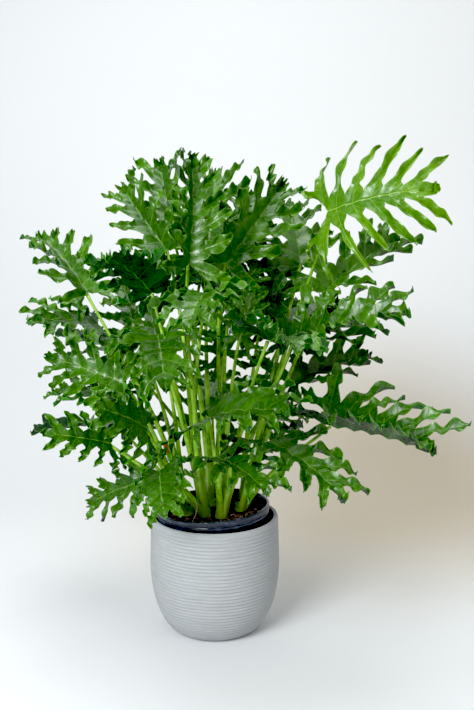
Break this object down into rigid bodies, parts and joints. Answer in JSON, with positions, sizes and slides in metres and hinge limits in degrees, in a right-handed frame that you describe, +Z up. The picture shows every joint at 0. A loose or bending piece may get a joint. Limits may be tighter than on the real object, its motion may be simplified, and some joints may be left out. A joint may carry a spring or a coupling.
{
  "type": "philodendron selloum in a pot",
  "caption": "Split-leaf philodendron with long-stalked, deeply lobed leaves, growing in a black grower's pot set inside a round grey ribbed planter.",
  "frame": {"origin": "centre of the planter's flat foot, on the surface it stands on", "axes": "+Z up, -Y towards the plant's front, +X to the right seen from the front"},
  "size_m": [1.0524, 0.9429, 1.1745],
  "materials": {
    "planter": "matte grey, concrete look, with fine level ribs",
    "grower_pot": "semi-gloss black, moulded",
    "soil": "rough, dark brown potting mix with bark",
    "stalk": "smooth, yellow-green, slightly glossy",
    "blade": "leathery, glossy dark green above and paler below",
    "young_blade": "thin young leaf, glossy yellow-green"
  },
  "bodies": {
    "root": {"planter": "planter", "grower_pot": "grower_pot", "soil": "soil", "stalks_left": "stalk", "stalks_middle": "stalk", "stalks_front": "stalk", "stalks_right": "stalk", "stalks_back": "stalk", "blade_01": "blade", "blade_02": "blade", "blade_03": "blade", "blade_04": "blade", "blade_05": "blade", "blade_06": "blade", "blade_07": "blade", "blade_08": "blade", "blade_09": "blade", "blade_10": "blade", "blade_11": "blade", "blade_12": "blade", "blade_13": "young_blade", "blade_14": "blade", "blade_15": "blade", "blade_16": "blade", "blade_17": "blade", "blade_18": "blade", "blade_19": "blade", "blade_20": "blade", "blade_21": "blade", "blade_22": "blade", "blade_23": "blade", "blade_24": "blade", "blade_25": "blade", "blade_26": "blade", "blade_27": "blade", "blade_28": "blade", "blade_29": "blade", "blade_30": "blade", "blade_31": "blade", "blade_32": "blade", "blade_33": "blade", "blade_34": "blade", "blade_35": "blade", "blade_36": "blade", "blade_37": "blade", "blade_38": "blade", "blade_39": "blade", "blade_40": "blade"}
  },
  "joints": []
}
